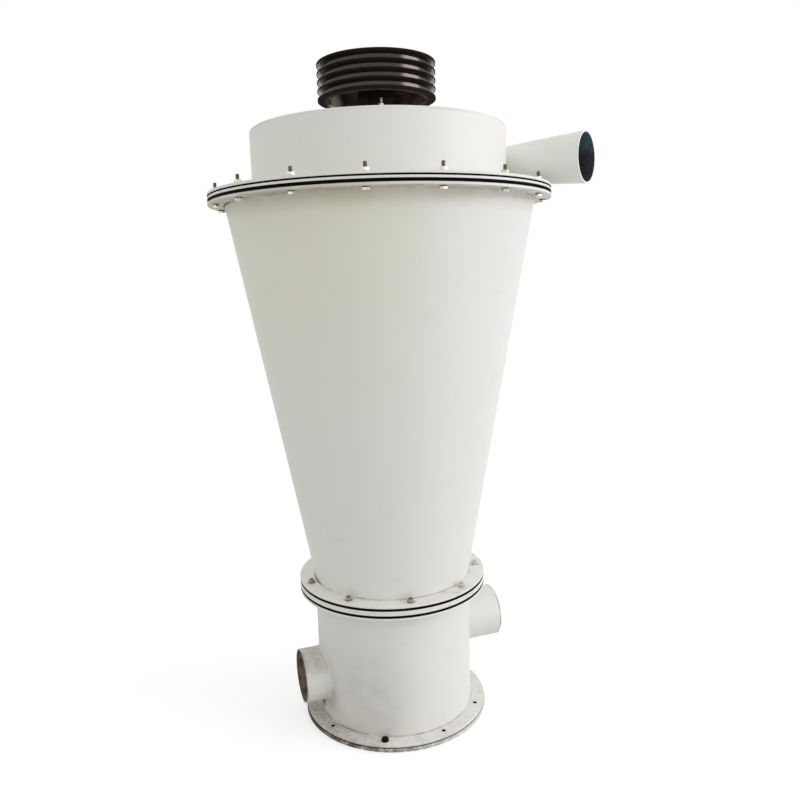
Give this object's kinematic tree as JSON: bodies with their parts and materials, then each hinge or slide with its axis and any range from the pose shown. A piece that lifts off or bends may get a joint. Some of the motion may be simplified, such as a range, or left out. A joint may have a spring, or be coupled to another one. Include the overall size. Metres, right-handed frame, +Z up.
{
  "type": "cyclone separator",
  "caption": "Upright cyclone separator: flanged cone on a settling chamber with stub pipes, a drum with a narrowing side inlet, and a belt-driven rotor on the roof.",
  "frame": {"origin": "on the vessel's axis, on the underside of the bottom plate", "axes": "+Z up along the vessel's axis; +X is the way the inlet pipe points"},
  "size_m": [0.8329, 0.812, 1.615],
  "materials": {
    "paint": "gloss off-white paint",
    "bare_steel": "bare plate with rust",
    "gasket": "matt black rubber",
    "pulley_iron": "dark cast iron",
    "shaft_steel": "turned steel"
  },
  "bodies": {
    "vessel": {"base_plate": "bare_steel", "base_gasket": "gasket", "base_flange": "paint", "chamber_low_half": "paint", "chamber_high_half": "paint", "low_stub": "paint", "high_stub": "paint", "chamber_flange": "paint", "low_joint_gasket_a": "gasket", "low_joint_ring": "paint", "low_joint_gasket_b": "gasket", "cone_foot_flange": "paint", "cone_half_a": "paint", "cone_half_b": "paint", "cone_head_flange": "paint", "head_gasket_a": "gasket", "head_ring": "paint", "head_gasket_b": "gasket", "drum_flange": "paint", "drum_inlet_half": "paint", "drum_plain_half": "paint", "drum_roof": "paint", "inlet_pipe": "paint", "bearing_housing": "paint", "bearing_cover": "paint"},
    "rotor": {"shaft": "shaft_steel", "drive_pulley": "pulley_iron", "pulley_key": "shaft_steel"}
  },
  "joints": [
    {"name": "rotor_spin", "type": "hinge", "parent": "vessel", "child": "rotor", "pos_m": [0, 0, 1.5], "axis": [0, 0, 1], "continuous": true}
  ]
}
